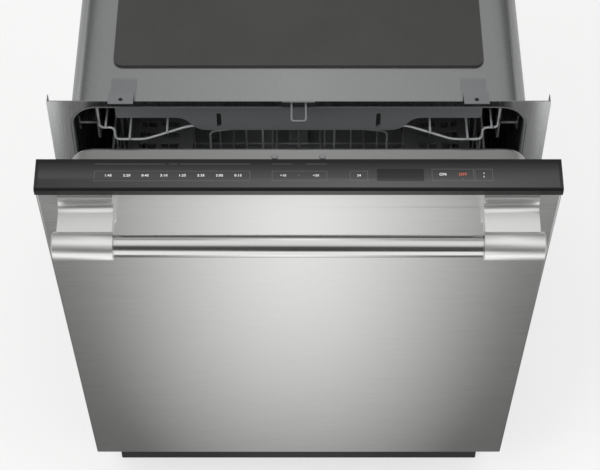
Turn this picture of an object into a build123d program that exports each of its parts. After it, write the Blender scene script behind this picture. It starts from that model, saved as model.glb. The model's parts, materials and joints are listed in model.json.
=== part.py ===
"""A built-in dishwasher with a top-control door, a bar handle and three pull-out racks.

Millimetres. X runs to the right, Y back into the niche and Z up. The origin is on the floor, in
the middle of the niche, in the plane of the cabinet fronts. The door and everything on it is
drawn shut, and the racks are drawn pushed in; each piece is then set to the pose of the stored
part, with the door ajar and the racks drawn forward as far as the door lets them follow.
"""

import os
from math import radians

from build123d import *

# Body and niche
flange_width = 600.0
flange_top = 849.0
flange_bottom = 140.0
flange_y = 17.0
flange_lip = 12.0
sheet = 1.2
tub_width = 550.0
tub_ceiling = 839.5
tub_floor = 150.0
tub_back = 560.0
tub_corner = 34.0
ledge_z = 168.0
ledge_width = 20.0
base_bottom = 24.0
base_half = 278.0
base_front = 34.0
base_wall = 2.5

# Door, shut
door_front = -27.4
door_bottom = 116.3
door_top = 858.4
door_depth = 41.8
panel_width = 604.0
console_width = 606.0
console_lip = 11.0
plug_width = 540.0
plug_top = 834.4
plug_bottom = 172.0
plug_depth = 35.0
plug_corner = 30.0
plug_bevel = 8.0
hinge_y = 10.0
hinge_z = 118.0
pin_radius = 4.0
ajar = 7.02

# Handle
handle_drop = 38.0
handle_reach = 52.0
handle_bar_radius = 13.2
cap_radius = 16.5
cap_inner = 212.0
cap_outer = 282.0
neck_inner = 213.5
neck_outer = 277.0

screw_xs = (228.0, 262.0)
screw_zs = (820.4,)
screw_radius = 2.5
latch_screw_x = 28.0
latch_screw_y = 33.5
latch_screw_radius = 1.8
board_posts = (60.0, 225.0)

# Racks, pushed in
rack_front = 74.0
rack_back = 530.0
wire = 3.0
third_half = 246.0
third_rim = 820.0
third_trough = 775.0
upper_half = 242.0
upper_bottom = 512.0
upper_rim = 668.0
lower_half = 256.0
lower_bottom = 200.0
lower_rim = 330.0
wheel_radius = 18.0
wheel_width = 9.0

# Metres of rack travel for each radian of door
hung_rack_ratio = 0.30
lower_rack_ratio = 0.095

# Water side
sump_y = 300.0
sump_radius = 112.0
pump_z = 80.0
lower_arm_reach = 238.0
middle_arm_reach = 222.0
top_arm_reach = 110.0

# Fits
running = 0.05
play = 0.3
gap = 0.6

opening = radians(ajar)
hung_shift = hung_rack_ratio * 1000 * opening
lower_shift = lower_rack_ratio * 1000 * opening
hinge_axis = Axis((0, hinge_y, hinge_z), (1, 0, 0))
door_back = door_front + door_depth
liner_y = door_back - 1.0 - sheet
plug_y = liner_y + sheet + plug_depth

os.makedirs("parts", exist_ok=True)


def across(y):
    """A plane facing the front at depth y, for sketches in X and Z; a negative extrude goes back."""
    return Plane.XZ.offset(-y)


def along(x):
    """A plane facing right at x, for sketches in Y and Z."""
    return Plane.YZ.offset(x)


def level(z):
    """A level plane at height z."""
    return Plane.XY.offset(z)


def middle(span):
    return (span[0] + span[1]) / 2


def block(x, y, z, mode=Mode.ADD):
    """A plain box over three spans."""
    with Locations((middle(x), middle(y), middle(z))):
        Box(abs(x[1] - x[0]), abs(y[1] - y[0]), abs(z[1] - z[0]), mode=mode)


def panel(u, v, corner=0.0, mode=Mode.ADD):
    """A rectangle over two spans, with rounded corners where they are given."""
    with Locations((middle(u), middle(v))):
        if corner:
            RectangleRounded(u[1] - u[0], v[1] - v[0], corner, mode=mode)
        else:
            Rectangle(u[1] - u[0], v[1] - v[0], mode=mode)


def both(value):
    """The span from minus a half width to plus it."""
    return (-value, value)


def save(builder, name, drawn_forward=0.0, on_door=False):
    """Sets a finished piece to the stored pose, labels it and writes it."""
    if on_door:
        builder.part = builder.part.rotate(hinge_axis, ajar)
    if drawn_forward:
        builder.part = builder.part.translate((0, -drawn_forward, 0))
    builder.part.label = name
    export_step(builder.part, f"parts/{name}.step")


# Tub: a stepped box with a wide mouth, a front flange and ledges that the lower rack rolls on

def tub_section(grow):
    """The tub's cross section, grown outwards by a wall."""
    half = tub_width / 2
    panel(both(half + grow), (ledge_z - grow, tub_ceiling + grow), tub_corner + grow)
    panel(both(half + grow), (ledge_z - grow, ledge_z + 2 * tub_corner))
    panel(both(half - ledge_width + grow), (tub_floor - grow, ledge_z + tub_corner))


with BuildPart() as tub:
    with BuildSketch(across(flange_y)):
        tub_section(sheet)
    extrude(amount=flange_y - tub_back - sheet)
    with BuildSketch(across(flange_y)):
        panel(both(flange_width / 2), (flange_bottom, flange_top), 3)
    extrude(amount=-sheet)
    with BuildSketch(across(flange_y)):
        panel(both(flange_width / 2), (flange_bottom, flange_top), 3)
        panel(both(flange_width / 2 - sheet), (flange_bottom - 5, flange_top + 5), mode=Mode.SUBTRACT)
    extrude(amount=-flange_lip)
    with BuildSketch(across(flange_y)):
        tub_section(0)
    extrude(amount=flange_y - tub_back, mode=Mode.SUBTRACT)
    with BuildSketch(level(tub_floor - 3 * sheet)):
        with Locations((0, sump_y)):
            Circle(sump_radius - 6)
    extrude(amount=6 * sheet, mode=Mode.SUBTRACT)
save(tub, "tub")

gasket_depth = 11.0
gasket_thickness = 3.1
gasket_end = ledge_z + 4.0
with BuildPart() as tub_gasket:
    with BuildSketch(across(flange_y + gap)):
        panel(both(tub_width / 2), (gasket_end - 2 * tub_corner, tub_ceiling), tub_corner)
        panel(both(tub_width / 2 - gasket_thickness),
              (gasket_end - 3 * tub_corner, tub_ceiling - gasket_thickness),
              tub_corner - gasket_thickness, mode=Mode.SUBTRACT)
        panel(both(tub_width), (0, gasket_end), mode=Mode.SUBTRACT)
    extrude(amount=-gasket_depth)
save(tub_gasket, "tub_gasket")

strike_z = 845.0
strike_wire = 3.0
strike_half = 8.5
strike_front = -11.0
strike_plate_half = 20.0
with BuildPart() as door_strike:
    with BuildLine(level(strike_z)) as strike_path:
        FilletPolyline((-strike_half, flange_y - sheet), (-strike_half, strike_front),
                       (strike_half, strike_front), (strike_half, flange_y - sheet), radius=4)
    with BuildSketch(Plane(strike_path.line @ 0, z_dir=strike_path.line % 0)):
        Circle(strike_wire / 2)
    sweep()
    with BuildSketch(across(flange_y - sheet)):
        panel(both(strike_plate_half), (strike_z - 5, flange_top - 0.5), 2)
    extrude(amount=-sheet)
save(door_strike, "door_strike")

# Worktop brackets: a foot on the tub's roof, a riser and a tab with a screw hole

bracket_x = 210.0
bracket_half = 15.0
bracket_tab_z = 860.0
bracket_hole = 2.6
bracket_sheet = 1.5
bracket_front = 2.0
bracket_back = 60.0
bracket_hole_y = 9.0
with BuildPart() as top_brackets:
    with BuildSketch(along(bracket_x - bracket_half)):
        with BuildLine():
            foot_z = tub_ceiling + sheet
            riser_y = flange_y + sheet + gap
            Polyline((bracket_back, foot_z), (riser_y, foot_z), (riser_y, bracket_tab_z),
                     (bracket_front, bracket_tab_z), (bracket_front, bracket_tab_z + bracket_sheet),
                     (riser_y + bracket_sheet, bracket_tab_z + bracket_sheet),
                     (riser_y + bracket_sheet, foot_z + bracket_sheet),
                     (bracket_back, foot_z + bracket_sheet), close=True)
        make_face()
    extrude(amount=2 * bracket_half)
    with Locations((bracket_x, bracket_hole_y, bracket_tab_z + bracket_sheet)):
        Hole(bracket_hole, depth=2 * bracket_sheet)
    mirror(about=Plane.YZ)
save(top_brackets, "top_brackets")

mat = 3.0
mat_corner = 12.0
mat_half = 225.0
mat_y = (80.0, 525.0)
side_mat_z = (330.0, 790.0)
back_mat_z = (260.0, 780.0)
with BuildPart() as damping_mats:
    with BuildSketch(level(tub_ceiling + sheet)):
        panel(both(mat_half), mat_y, mat_corner)
    extrude(amount=mat)
    for side in (-1, 1):
        with BuildSketch(along(side * (tub_width / 2 + sheet))):
            panel(mat_y, side_mat_z, mat_corner)
        extrude(amount=side * mat)
    with BuildSketch(across(tub_back + sheet)):
        panel(both(mat_half), back_mat_z, mat_corner)
    extrude(amount=-mat)
save(damping_mats, "damping_mats")

# Base: a tray with two ribs under the tub's ledges and a service opening in front

hinge_sheet = 3.0
arm_x = 286.0
spring_x = arm_x + hinge_sheet / 2
pulley_y = 42.0
pulley_z = 46.0
pulley_radius = 12.0
pulley_width = 5.0
cable_radius = 1.5
spring_z = pulley_z - pulley_radius
spring_radius = 8.0
spring_front = 160.0
spring_lug = (336.0, 342.0)

foot_x = 250.0
foot_ys = (70.0, 520.0)
foot_radius = 17.0
foot_disc = 5.0
foot_nut = 9.0
rod_radius = 5.0
rod_top = 46.0
rod_boss = rod_radius + 5.0
service_half = 240.0
service_z = (40.0, 128.0)
rib_half = 2.0
pipe_radius = 12.0
pipe_x = -110.0
with BuildPart() as base_pan:
    block(both(base_half), (base_front, tub_back), (base_bottom, flange_bottom))
    block(both(base_half - base_wall), (base_front + base_wall, tub_back - base_wall),
          (base_bottom + base_wall, flange_bottom + 5), mode=Mode.SUBTRACT)
    block(both(service_half), (base_front - 1, base_front + base_wall + 1), service_z,
          mode=Mode.SUBTRACT)
    rib_x = tub_width / 2 - ledge_width / 2
    for side in (-1, 1):
        block((side * rib_x - rib_half, side * rib_x + rib_half),
              (base_front + base_wall, tub_back - base_wall),
              (base_bottom + base_wall, ledge_z - sheet))
    with BuildSketch(level(base_bottom)):
        with Locations(*[(side * foot_x, y) for side in (-1, 1) for y in foot_ys]):
            Circle(rod_boss)
    extrude(amount=rod_top + 4 - base_bottom)
    with BuildSketch(level(base_bottom)):
        with Locations(*[(side * foot_x, y) for side in (-1, 1) for y in foot_ys]):
            Circle(rod_radius + running)
    extrude(amount=rod_top + 1 - base_bottom, mode=Mode.SUBTRACT)
    with BuildSketch(across(tub_back - base_wall - 1)):
        with Locations((pipe_x, pump_z)):
            Circle(pipe_radius + play)
    extrude(amount=-base_wall - 2, mode=Mode.SUBTRACT)
    for side in (-1, 1):
        block((side * base_half, side * (spring_x + 4)), spring_lug, (spring_z - 7, spring_z + 7))
save(base_pan, "base_pan")

with BuildPart() as levelling_feet:
    for side in (-1, 1):
        for y in foot_ys:
            with BuildSketch(level(0)):
                with Locations((side * foot_x, y)):
                    Circle(foot_radius)
            extrude(amount=foot_disc, taper=12)
            with BuildSketch(level(foot_disc)):
                with Locations((side * foot_x, y)):
                    RegularPolygon(2 * rod_radius + 1, 6)
            extrude(amount=foot_nut)
            with BuildSketch(level(foot_disc + foot_nut)):
                with Locations((side * foot_x, y)):
                    Circle(rod_radius)
            extrude(amount=rod_top - foot_disc - foot_nut)
save(levelling_feet, "levelling_feet")

kick_half = 276.0
access_depth = 4.0
access_z = (80.0, 136.0)
with BuildPart() as access_panel:
    with BuildSketch(across(base_front)):
        panel(both(kick_half), access_z, 2)
    extrude(amount=access_depth)
    block(both(kick_half - sheet), (base_front - access_depth + sheet, base_front + 1),
          (access_z[0] + sheet, access_z[1] - sheet), mode=Mode.SUBTRACT)
save(access_panel, "access_panel")

kick_back = base_front - access_depth
kick_front = kick_back - 5.0
kick_z = (6.0, 104.0)
kick_block_z = (30.0, 70.0)
with BuildPart() as toe_kick:
    with BuildSketch(across(kick_back)):
        panel(both(kick_half), kick_z, 2)
    extrude(amount=kick_back - kick_front)
    block(both(kick_half - sheet), (kick_front + sheet, base_front),
          (kick_z[0] + sheet, kick_z[1] - sheet), mode=Mode.SUBTRACT)
    block(both(kick_half - 6), (kick_front + sheet / 2, base_front), kick_block_z)
save(toe_kick, "toe_kick")

# Hinges: brackets with pins on the base, arms with eyes and tails on the door

eye = 12.0
tail_y = 20.0
tail_z = -38.0
hook_y = hinge_y + tail_y
hook_z = hinge_z + tail_z
pulley_pin = 3.0
hook_eye = 7.0
hook_hole = 3.0
arm_span = (-22.0, 2.0)
arm_z = (150.0, 290.0)


def shouldered_pin(y, z, radius, shoulder_end):
    """A pin that stands out from the bracket's plate, with a shoulder that spaces what it carries."""
    with BuildPart() as stub:
        with BuildSketch(along(base_half)):
            with Locations((y, z)):
                Circle(radius + 3)
        extrude(amount=shoulder_end - base_half)
        with BuildSketch(along(base_half)):
            with Locations((y, z)):
                Circle(radius)
        extrude(amount=arm_x + hinge_sheet + 3 - base_half)
    return stub.part


with BuildPart() as hinge_brackets:
    with BuildSketch(along(base_half)):
        with Locations((hinge_y, hinge_z)):
            Circle(eye)
        with BuildLine():
            Polyline((hinge_y, hinge_z + eye), (base_front, 138), (100, 138), (100, 60), (64, 30),
                     (base_front, 30), (base_front, 84), (hinge_y + 10, hinge_z - 6), close=True)
        make_face()
    extrude(amount=hinge_sheet)
    add(shouldered_pin(hinge_y, hinge_z, pin_radius, arm_x - gap))
    add(shouldered_pin(pulley_y, pulley_z, pulley_pin, spring_x - pulley_width / 2 - gap))
    mirror(about=Plane.YZ)
save(hinge_brackets, "hinge_brackets")

with BuildPart() as hinge_arms:
    with BuildSketch(along(arm_x)):
        with Locations((hinge_y, hinge_z)):
            Circle(eye)
        with BuildLine():
            Polyline((hinge_y - eye, hinge_z), (arm_span[0], arm_z[0]), (arm_span[0], arm_z[1]),
                     (arm_span[1], arm_z[1]), (arm_span[1], arm_z[0]),
                     (hinge_y + eye - 1, hinge_z + 2), close=True)
        make_face()
        with BuildLine():
            Polyline((hinge_y - 8, hinge_z - 8), (hook_y - hook_eye, hook_z),
                     (hook_y + hook_eye, hook_z), (hinge_y + eye - 1, hinge_z), close=True)
        make_face()
        with Locations((hook_y, hook_z)):
            Circle(hook_eye)
            Circle(hook_hole, mode=Mode.SUBTRACT)
        with Locations((hinge_y, hinge_z)):
            Circle(pin_radius + running, mode=Mode.SUBTRACT)
    extrude(amount=hinge_sheet)
    mirror(about=Plane.YZ)
save(hinge_arms, "hinge_arms", on_door=True)

# Door springs: a cable from each arm's tail down, round a pulley and back to its spring

with BuildPart() as spring_pulleys:
    with BuildSketch(along(spring_x - pulley_width / 2)):
        with Locations((pulley_y, pulley_z)):
            Circle(pulley_radius)
            Circle(pulley_pin + running, mode=Mode.SUBTRACT)
    extrude(amount=pulley_width)
    with BuildSketch(along(spring_x - cable_radius)):
        with Locations((pulley_y, pulley_z)):
            Circle(pulley_radius + 1)
            Circle(pulley_radius - 2 * cable_radius, mode=Mode.SUBTRACT)
    extrude(amount=2 * cable_radius, mode=Mode.SUBTRACT)
    mirror(about=Plane.YZ)
save(spring_pulleys, "spring_pulleys")

cable_bend = pulley_radius - cable_radius + play
hook_open = Vector(0, hook_y, hook_z).rotate(hinge_axis, ajar)
with BuildPart() as spring_cables:
    with BuildLine(along(spring_x)) as cable_path:
        FilletPolyline((hook_open.Y, hook_open.Z - hook_eye - play),
                       (pulley_y - cable_bend, pulley_z - cable_bend),
                       (spring_front, pulley_z - cable_bend), radius=cable_bend)
    with BuildSketch(Plane(cable_path.line @ 0, z_dir=cable_path.line % 0)):
        Circle(cable_radius)
    sweep()
    mirror(about=Plane.YZ)
save(spring_cables, "spring_cables")

spring_hook = 2.0
with BuildPart() as door_springs:
    with BuildSketch(level(pulley_z - cable_bend)):
        with BuildLine():
            Polyline((spring_x, spring_front), (spring_x + spring_hook, spring_front),
                     (spring_x + spring_radius, spring_front + 8),
                     (spring_x + spring_radius, spring_lug[0] - 12),
                     (spring_x + spring_hook, spring_lug[0] - 4),
                     (spring_x + spring_hook, spring_lug[0]),
                     (spring_x, spring_lug[0]), close=True)
        make_face()
    revolve(axis=Axis((spring_x, 0, pulley_z - cable_bend), (0, 1, 0)))
    mirror(about=Plane.YZ)
save(door_springs, "door_springs")

# Sump: a funnel under the tub with the post that the lower spray arm turns on

post_radius = 9.0
lower_arm_z = 168.0
arm_height = 12.0
sump_bottom = 60.0
neck_reach = 76.0
neck_radius = 16.0
throat = 64.0
sump_wall = 4.0
sump_seat = sump_radius - 9.0
funnel_z = (114.0, 142.0)
with BuildPart() as sump_housing:
    with BuildSketch(across(sump_y)):
        with BuildLine():
            Polyline((0, sump_bottom), (throat - 6, sump_bottom),
                     (throat + sump_wall, sump_bottom + 10), (throat + sump_wall, funnel_z[0] - 2),
                     (sump_radius, funnel_z[1] - 2), (sump_radius, tub_floor - sheet),
                     (sump_seat, tub_floor - sheet), (sump_seat, funnel_z[1]),
                     (throat, funnel_z[0]), (throat, sump_bottom + 12),
                     (throat - 8, sump_bottom + sump_wall), (0, sump_bottom + sump_wall),
                     close=True)
        make_face()
    revolve(axis=Axis((0, sump_y, 0), (0, 0, 1)))
    with BuildSketch(level(sump_bottom)):
        with Locations((0, sump_y)):
            Circle(post_radius + 4)
    extrude(amount=lower_arm_z - 2 - sump_bottom)
    with BuildSketch(level(sump_bottom)):
        with Locations((0, sump_y)):
            Circle(post_radius)
    extrude(amount=lower_arm_z + arm_height + 3 - sump_bottom)
    for direction in ((1, 0, 0), (-1, 0, 0), (0, 1, 0), (0, -1, 0)):
        with BuildSketch(Plane(origin=Vector(0, sump_y, pump_z) + Vector(direction) * (throat + 1),
                               z_dir=direction)):
            Circle(neck_radius)
        extrude(amount=neck_reach - throat - 1)
save(sump_housing, "sump_housing")

filter_y = sump_y - 40.0
cup_radius = 25.0
cup_bottom = 84.0
filter_top = tub_floor - sheet
filter_plate = 3.0
filter_low = filter_top - filter_plate - 1.0
filter_slots = 24
filter_slot_radius = 76.0
with BuildPart() as coarse_filter:
    with BuildSketch(level(filter_low)):
        with Locations((0, sump_y)):
            Circle(sump_seat - play)
            with PolarLocations(filter_slot_radius, filter_slots):
                Rectangle(30, 3, mode=Mode.SUBTRACT)
        with Locations((0, filter_y)):
            Circle(cup_radius + 4)
            Circle(cup_radius + running, mode=Mode.SUBTRACT)
        with Locations((0, sump_y)):
            Circle(post_radius + 4 + gap, mode=Mode.SUBTRACT)
    extrude(amount=filter_plate)
save(coarse_filter, "coarse_filter")

with BuildPart() as filter_cup:
    with BuildSketch(level(cup_bottom)):
        with Locations((0, filter_y)):
            Circle(cup_radius - 3)
    extrude(amount=filter_low - cup_bottom)
    with BuildSketch(level(filter_low - 1)):
        with Locations((0, filter_y)):
            Circle(cup_radius)
    extrude(amount=9)
    with BuildSketch(level(cup_bottom + 4)):
        with Locations((0, filter_y)):
            Circle(cup_radius - 5)
    extrude(amount=80, mode=Mode.SUBTRACT)
    block(both(4), (filter_y - cup_radius + 1, filter_y + cup_radius - 1),
          (filter_low - 1, filter_top + 8))
save(filter_cup, "filter_cup")


def spray_arm(z, reach, hub, tip, height, bore):
    """A spray arm: a tapered hull from hub to tips, with a bore and nozzle slots in its top."""
    with BuildPart() as arm:
        with BuildSketch(level(z)):
            with Locations((0, sump_y)):
                Circle(hub)
            with Locations((-reach + tip, sump_y), (reach - tip, sump_y)):
                Circle(tip)
            make_hull()
            with Locations((0, sump_y)):
                Circle(bore, mode=Mode.SUBTRACT)
        extrude(amount=height)
        nozzle_pitch = (reach - hub - 24) / 4
        with BuildSketch(level(z + height)):
            with Locations(*[(side * (hub + 12 + nozzle_pitch * i), sump_y + (4 if i % 2 else -4))
                             for side in (-1, 1) for i in range(5)]):
                Rectangle(3, 7)
        extrude(amount=-2, mode=Mode.SUBTRACT)
    return arm


lower_spray_arm = spray_arm(lower_arm_z, lower_arm_reach, 24, 11, arm_height,
                            post_radius + running)
save(lower_spray_arm, "lower_spray_arm")

volute = (30.0, 34.0)
motor = (40.0, 86.0)
with BuildPart() as circulation_pump:
    with BuildSketch(along(neck_reach)):
        with Locations((sump_y, pump_z)):
            Circle(volute[0])
    extrude(amount=volute[1])
    with BuildSketch(along(neck_reach + volute[1])):
        with Locations((sump_y, pump_z)):
            Circle(motor[0])
    extrude(amount=motor[1])
    chamfer(circulation_pump.faces().sort_by(Axis.X)[-1].edges(), 6)
    block((neck_reach + volute[1] + 6, neck_reach + volute[1] + motor[1] - 10),
          (sump_y - motor[0] / 2, sump_y + motor[0] / 2), (base_bottom + base_wall, 46))
save(circulation_pump, "circulation_pump")

drain_motor = (24.0, 80.0)
with BuildPart() as drain_pump:
    with BuildSketch(along(-neck_reach)):
        with Locations((sump_y, pump_z)):
            Circle(drain_motor[0])
    extrude(amount=-drain_motor[1])
    chamfer(drain_pump.faces().sort_by(Axis.X)[0].edges(), 4)
    with BuildSketch(across(sump_y + 20)):
        with Locations((pipe_x, pump_z)):
            Circle(pipe_radius)
    extrude(amount=-10)
save(drain_pump, "drain_pump")

pipe_front = sump_y + 30.0
barb = 7.0
with BuildPart() as drain_outlet:
    with BuildSketch(across(pipe_front)):
        with Locations((pipe_x, pump_z)):
            Circle(pipe_radius)
    extrude(amount=pipe_front - tub_back - 4)
    for i in range(3):
        with BuildSketch(across(tub_back + 6 + barb * i)):
            with Locations((pipe_x, pump_z)):
                Circle(pipe_radius - 2)
        extrude(amount=-barb, taper=12)
    with BuildSketch(across(tub_back)):
        with Locations((pipe_x, pump_z)):
            Circle(pipe_radius + 7)
    extrude(amount=-6)
    with BuildSketch(across(pipe_front)):
        with Locations((pipe_x, pump_z)):
            Circle(pipe_radius - 5)
    extrude(amount=-400, mode=Mode.SUBTRACT)
save(drain_outlet, "drain_outlet")

valve_y = (70.0, 112.0)
inlet_thread = 13.2
inlet_length = 14.0
with BuildPart() as inlet_valve:
    block(both(21), valve_y, (pump_z - 22, pump_z + 22))
    with BuildSketch(level(pump_z + 22)):
        with Locations((0, middle(valve_y))):
            Circle(14)
    extrude(amount=24)
    with BuildSketch(across(valve_y[0])):
        with Locations((0, pump_z)):
            Circle(inlet_thread)
            Circle(inlet_thread - 4, mode=Mode.SUBTRACT)
    extrude(amount=inlet_length)
    with BuildSketch(across(valve_y[1])):
        with Locations((0, pump_z)):
            Circle(8)
    extrude(amount=valve_y[1] - sump_y + neck_reach)
    block(both(18), valve_y, (base_bottom + base_wall, pump_z - 22))
save(inlet_valve, "inlet_valve")

box_x = (150.0, 230.0)
box_y = (60.0, 120.0)
box_z = (base_bottom + base_wall, 74.0)
box_wall = 1.5
conduit_radius = 11.0
conduit_z = 50.0
with BuildPart() as junction_box:
    block(box_x, box_y, box_z)
    block((box_x[0] + box_wall, box_x[1] - box_wall), (box_y[0] + box_wall, box_y[1] - box_wall),
          (box_z[0] + box_wall, box_z[1] - box_wall), mode=Mode.SUBTRACT)
    with BuildSketch(across(box_y[0])):
        with Locations((middle(box_x), conduit_z)):
            Circle(conduit_radius)
    extrude(amount=-box_wall, mode=Mode.SUBTRACT)
save(junction_box, "junction_box")

# Manifold: a riser on the tub's back wall, a dock for the middle arm and a duct on the ceiling

manifold_y = (543.0, tub_back)
dock_z = 504.0
duct_z = (831.5, tub_ceiling)
stem_radius = 6.0
duct_half = 20.0
duct_front = sump_y - 26.0
with BuildPart() as water_manifold:
    with BuildSketch(level(tub_floor)):
        panel(both(duct_half), manifold_y, 4)
    extrude(amount=duct_z[0] - tub_floor)
    with BuildSketch(across(duct_front)):
        panel(both(duct_half), duct_z)
    extrude(amount=duct_front - tub_back)
    with BuildSketch(across(manifold_y[0])):
        with Locations((0, dock_z)):
            Circle(14)
    extrude(amount=8)
    with BuildSketch(across(manifold_y[0] - 8)):
        with Locations((0, dock_z)):
            Circle(9)
    extrude(amount=-16, mode=Mode.SUBTRACT)
    with BuildSketch(level(duct_z[0])):
        with Locations((0, sump_y)):
            Circle(stem_radius)
    extrude(amount=-8)
save(water_manifold, "water_manifold")

top_arm_height = 5.0
top_arm_z = duct_z[0] - 1.0 - top_arm_height
top_spray_arm = spray_arm(top_arm_z, top_arm_reach, 16, 8, top_arm_height,
                          stem_radius + running)
save(top_spray_arm, "top_spray_arm")

float_x = -205.0
float_y = 108.0
float_radius = 24.0
float_height = 26.0
with BuildPart() as float_switch:
    with BuildSketch(across(float_y)):
        with Locations((float_x, tub_floor + play)):
            Polygon((0, 0), (float_radius, 0), (float_radius - 2.5, float_height - 3),
                    (float_radius - 5.5, float_height), (0, float_height), align=None)
    revolve(axis=Axis((float_x, float_y, 0), (0, 0, 1)))
save(float_switch, "float_switch")

# Telescopic rails: a channel on the tub wall, a middle slide in it and a runner on the rack

rail_front = 62.0
rail_back = 532.0
slide_front = 66.0
slide_back = 508.0
rail_out = tub_width / 2
rail_in = 262.0
rail_half = 16.0
rail_wall = 1.5
runner_thick = 2.0
upper_rail_z = 640.0
third_rail_z = 788.0
slide_out = 270.3
slide_in = slide_out - 5.8
slide_half = rail_half - rail_wall - gap
runner_out = slide_out - rail_wall - gap
runner_half = slide_half - rail_wall - gap
lip = 3.0


def channel(z, inner, outer, half, y_front, y_back):
    """A pair of C-shaped rails, open towards the rack, with lips that hold what runs in them."""
    with BuildPart() as rails:
        with BuildSketch(across(y_front)):
            panel((inner, outer), (z - half, z + half))
            panel((inner + rail_wall, outer - rail_wall),
                  (z - half + rail_wall, z + half - rail_wall), mode=Mode.SUBTRACT)
            panel((inner - 1, inner + rail_wall + 1),
                  (z - half + rail_wall + lip, z + half - rail_wall - lip), mode=Mode.SUBTRACT)
        extrude(amount=y_front - y_back)
        mirror(about=Plane.YZ)
    return rails


upper_rack_rails = channel(upper_rail_z, rail_in, rail_out, rail_half, rail_front, rail_back)
save(upper_rack_rails, "upper_rack_rails")

third_rack_rails = channel(third_rail_z, rail_in, rail_out, rail_half, rail_front, rail_back)
save(third_rack_rails, "third_rack_rails")

upper_slides = channel(upper_rail_z, slide_in, slide_out, slide_half, slide_front, slide_back)
save(upper_slides, "upper_slides", drawn_forward=hung_shift / 2)

third_slides = channel(third_rail_z, slide_in, slide_out, slide_half, slide_front, slide_back)
save(third_slides, "third_slides", drawn_forward=hung_shift / 2)


def runner(z, rack_side):
    """Section of the rack's own runner: a bar inside the slide, and a web to the rack's side."""
    for side in (-1, 1):
        panel((side * (runner_out - runner_thick), side * runner_out),
              (z - runner_half, z + runner_half))
        panel((side * rack_side, side * (runner_out - runner_thick / 2)), (z - 2, z + 2))


def cut_apart(rack, *planes):
    """The same rack as flat grilles that touch: each plane parts off all that lies past it."""
    pieces = []
    for plane in planes:
        pieces += split(rack, bisect_by=plane, keep=Keep.TOP).solids()
        rack = split(rack, bisect_by=plane, keep=Keep.BOTTOM)
    return [*pieces, *rack.solids()]


def spread(first, last, count):
    """Evenly spread places, from the first to the last."""
    return [first + (last - first) * i / (count - 1) for i in range(count)]


def rim(half, z):
    """One wire loop that goes round a rack, on height z."""
    with BuildPart() as loop:
        with BuildSketch(level(z)):
            panel(both(half), (rack_front, rack_back))
            panel(both(half - wire), (rack_front + wire, rack_back - wire), mode=Mode.SUBTRACT)
        extrude(amount=wire)
    return loop.part


def lengthwise_wire(x, z):
    """One straight wire along the rack, with its middle at x and its underside at z."""
    block((x - wire / 2, x + wire / 2), (rack_front + wire, rack_back - wire), (z, z + wire))


# Third rack: cross wires with a raised middle and a deeper basin at each side. It is cut into
# flat grilles that touch, so that each collides as a flat piece and the tray stays open.

third_basin = 750.0
third_step_z = 772.0
third_step_x = 228.0
third_basin_x = 190.0
third_hump_x = 134.0
third_wires = 9
hanger_ys = (84.0, 440.0)
hanger_width = 18.0
third_hanger_drop = 40.0
with BuildPart() as third_rack:
    with BuildSketch(*[across(y) for y in spread(rack_front + wire, rack_back - 2 * wire, third_wires)]):
        with BuildLine():
            path = Polyline((-third_half, third_rim - wire), (-third_half, third_step_z),
                            (-third_step_x, third_step_z), (-third_step_x, third_basin),
                            (-third_basin_x, third_basin), (-third_hump_x, third_trough),
                            (third_hump_x, third_trough), (third_basin_x, third_basin),
                            (third_step_x, third_basin), (third_step_x, third_step_z),
                            (third_half, third_step_z), (third_half, third_rim - wire))
            offset(path, amount=wire, side=Side.LEFT)
        make_face()
    extrude(amount=-wire)
    for x in spread(-third_hump_x + 20, third_hump_x - 20, 6):
        lengthwise_wire(x, third_trough + wire)
    for side in (-1, 1):
        ramp_x = (third_basin_x + third_hump_x) / 2
        lengthwise_wire(side * ramp_x, (third_basin + third_trough) / 2 + wire * 0.9)
        lengthwise_wire(side * (third_basin_x + third_step_x) / 2, third_basin + wire)
        lengthwise_wire(side * (third_step_x + third_half) / 2, third_step_z + wire)
        for y in hanger_ys:
            block((side * (third_half - wire / 2), side * (third_half + 2)),
                  (y, y + hanger_width), (third_rail_z - third_hanger_drop, third_rim))
    add(rim(third_half, third_rim - wire))
    with BuildSketch(across(slide_front + 8)):
        runner(third_rail_z, third_half - 1)
    extrude(amount=slide_front - slide_back)

cuts = [across(rack_front + wire), -across(rack_back - wire)]
for x in (third_step_x - wire, third_basin_x, third_hump_x):
    cuts += [along(x), -along(-x)]
third_rack.part = Part(children=cut_apart(third_rack.part, *cuts))
save(third_rack, "third_rack", drawn_forward=hung_shift)

plate_top = 822.0
plate_low = 798.6
plate_half = 222.0
plate_ramp = (113.0, 150.0)
plate_thick = 2.0
plate_slot_x = 97.0
plate_slot_z = 794.0
with BuildPart() as third_rack_front:
    with BuildSketch(across(rack_front - plate_thick)):
        with BuildLine():
            Polyline((0, plate_top), (plate_half, plate_top), (plate_half, plate_low),
                     (plate_ramp[1], plate_low))
            Spline((plate_ramp[1], plate_low), (plate_ramp[0], third_trough + 1),
                   tangents=((-1, 0), (-1, 0)))
            Line((plate_ramp[0], third_trough + 1), (0, third_trough + 1))
            mirror(about=Plane.YZ)
        make_face()
        with Locations((-plate_slot_x, plate_slot_z), (plate_slot_x, plate_slot_z)):
            SlotOverall(26, 5.5, rotation=90, mode=Mode.SUBTRACT)
    extrude(amount=-plate_thick)
save(third_rack_front, "third_rack_front", drawn_forward=hung_shift)


wire_bend = 5.0


def u_wires(half, bottom, top):
    """Outline of one bent wire: up one side, along the bottom and up the other side."""
    outer = half - wire
    inner = outer - wire
    Polygon((-outer, top), (-outer, bottom + wire_bend), (-outer + wire_bend, bottom),
            (outer - wire_bend, bottom), (outer, bottom + wire_bend), (outer, top),
            (inner, top), (inner, bottom + wire_bend + 1),
            (outer - wire_bend - 1, bottom + wire), (-outer + wire_bend + 1, bottom + wire),
            (-inner, bottom + wire_bend + 1), (-inner, top))


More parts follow.
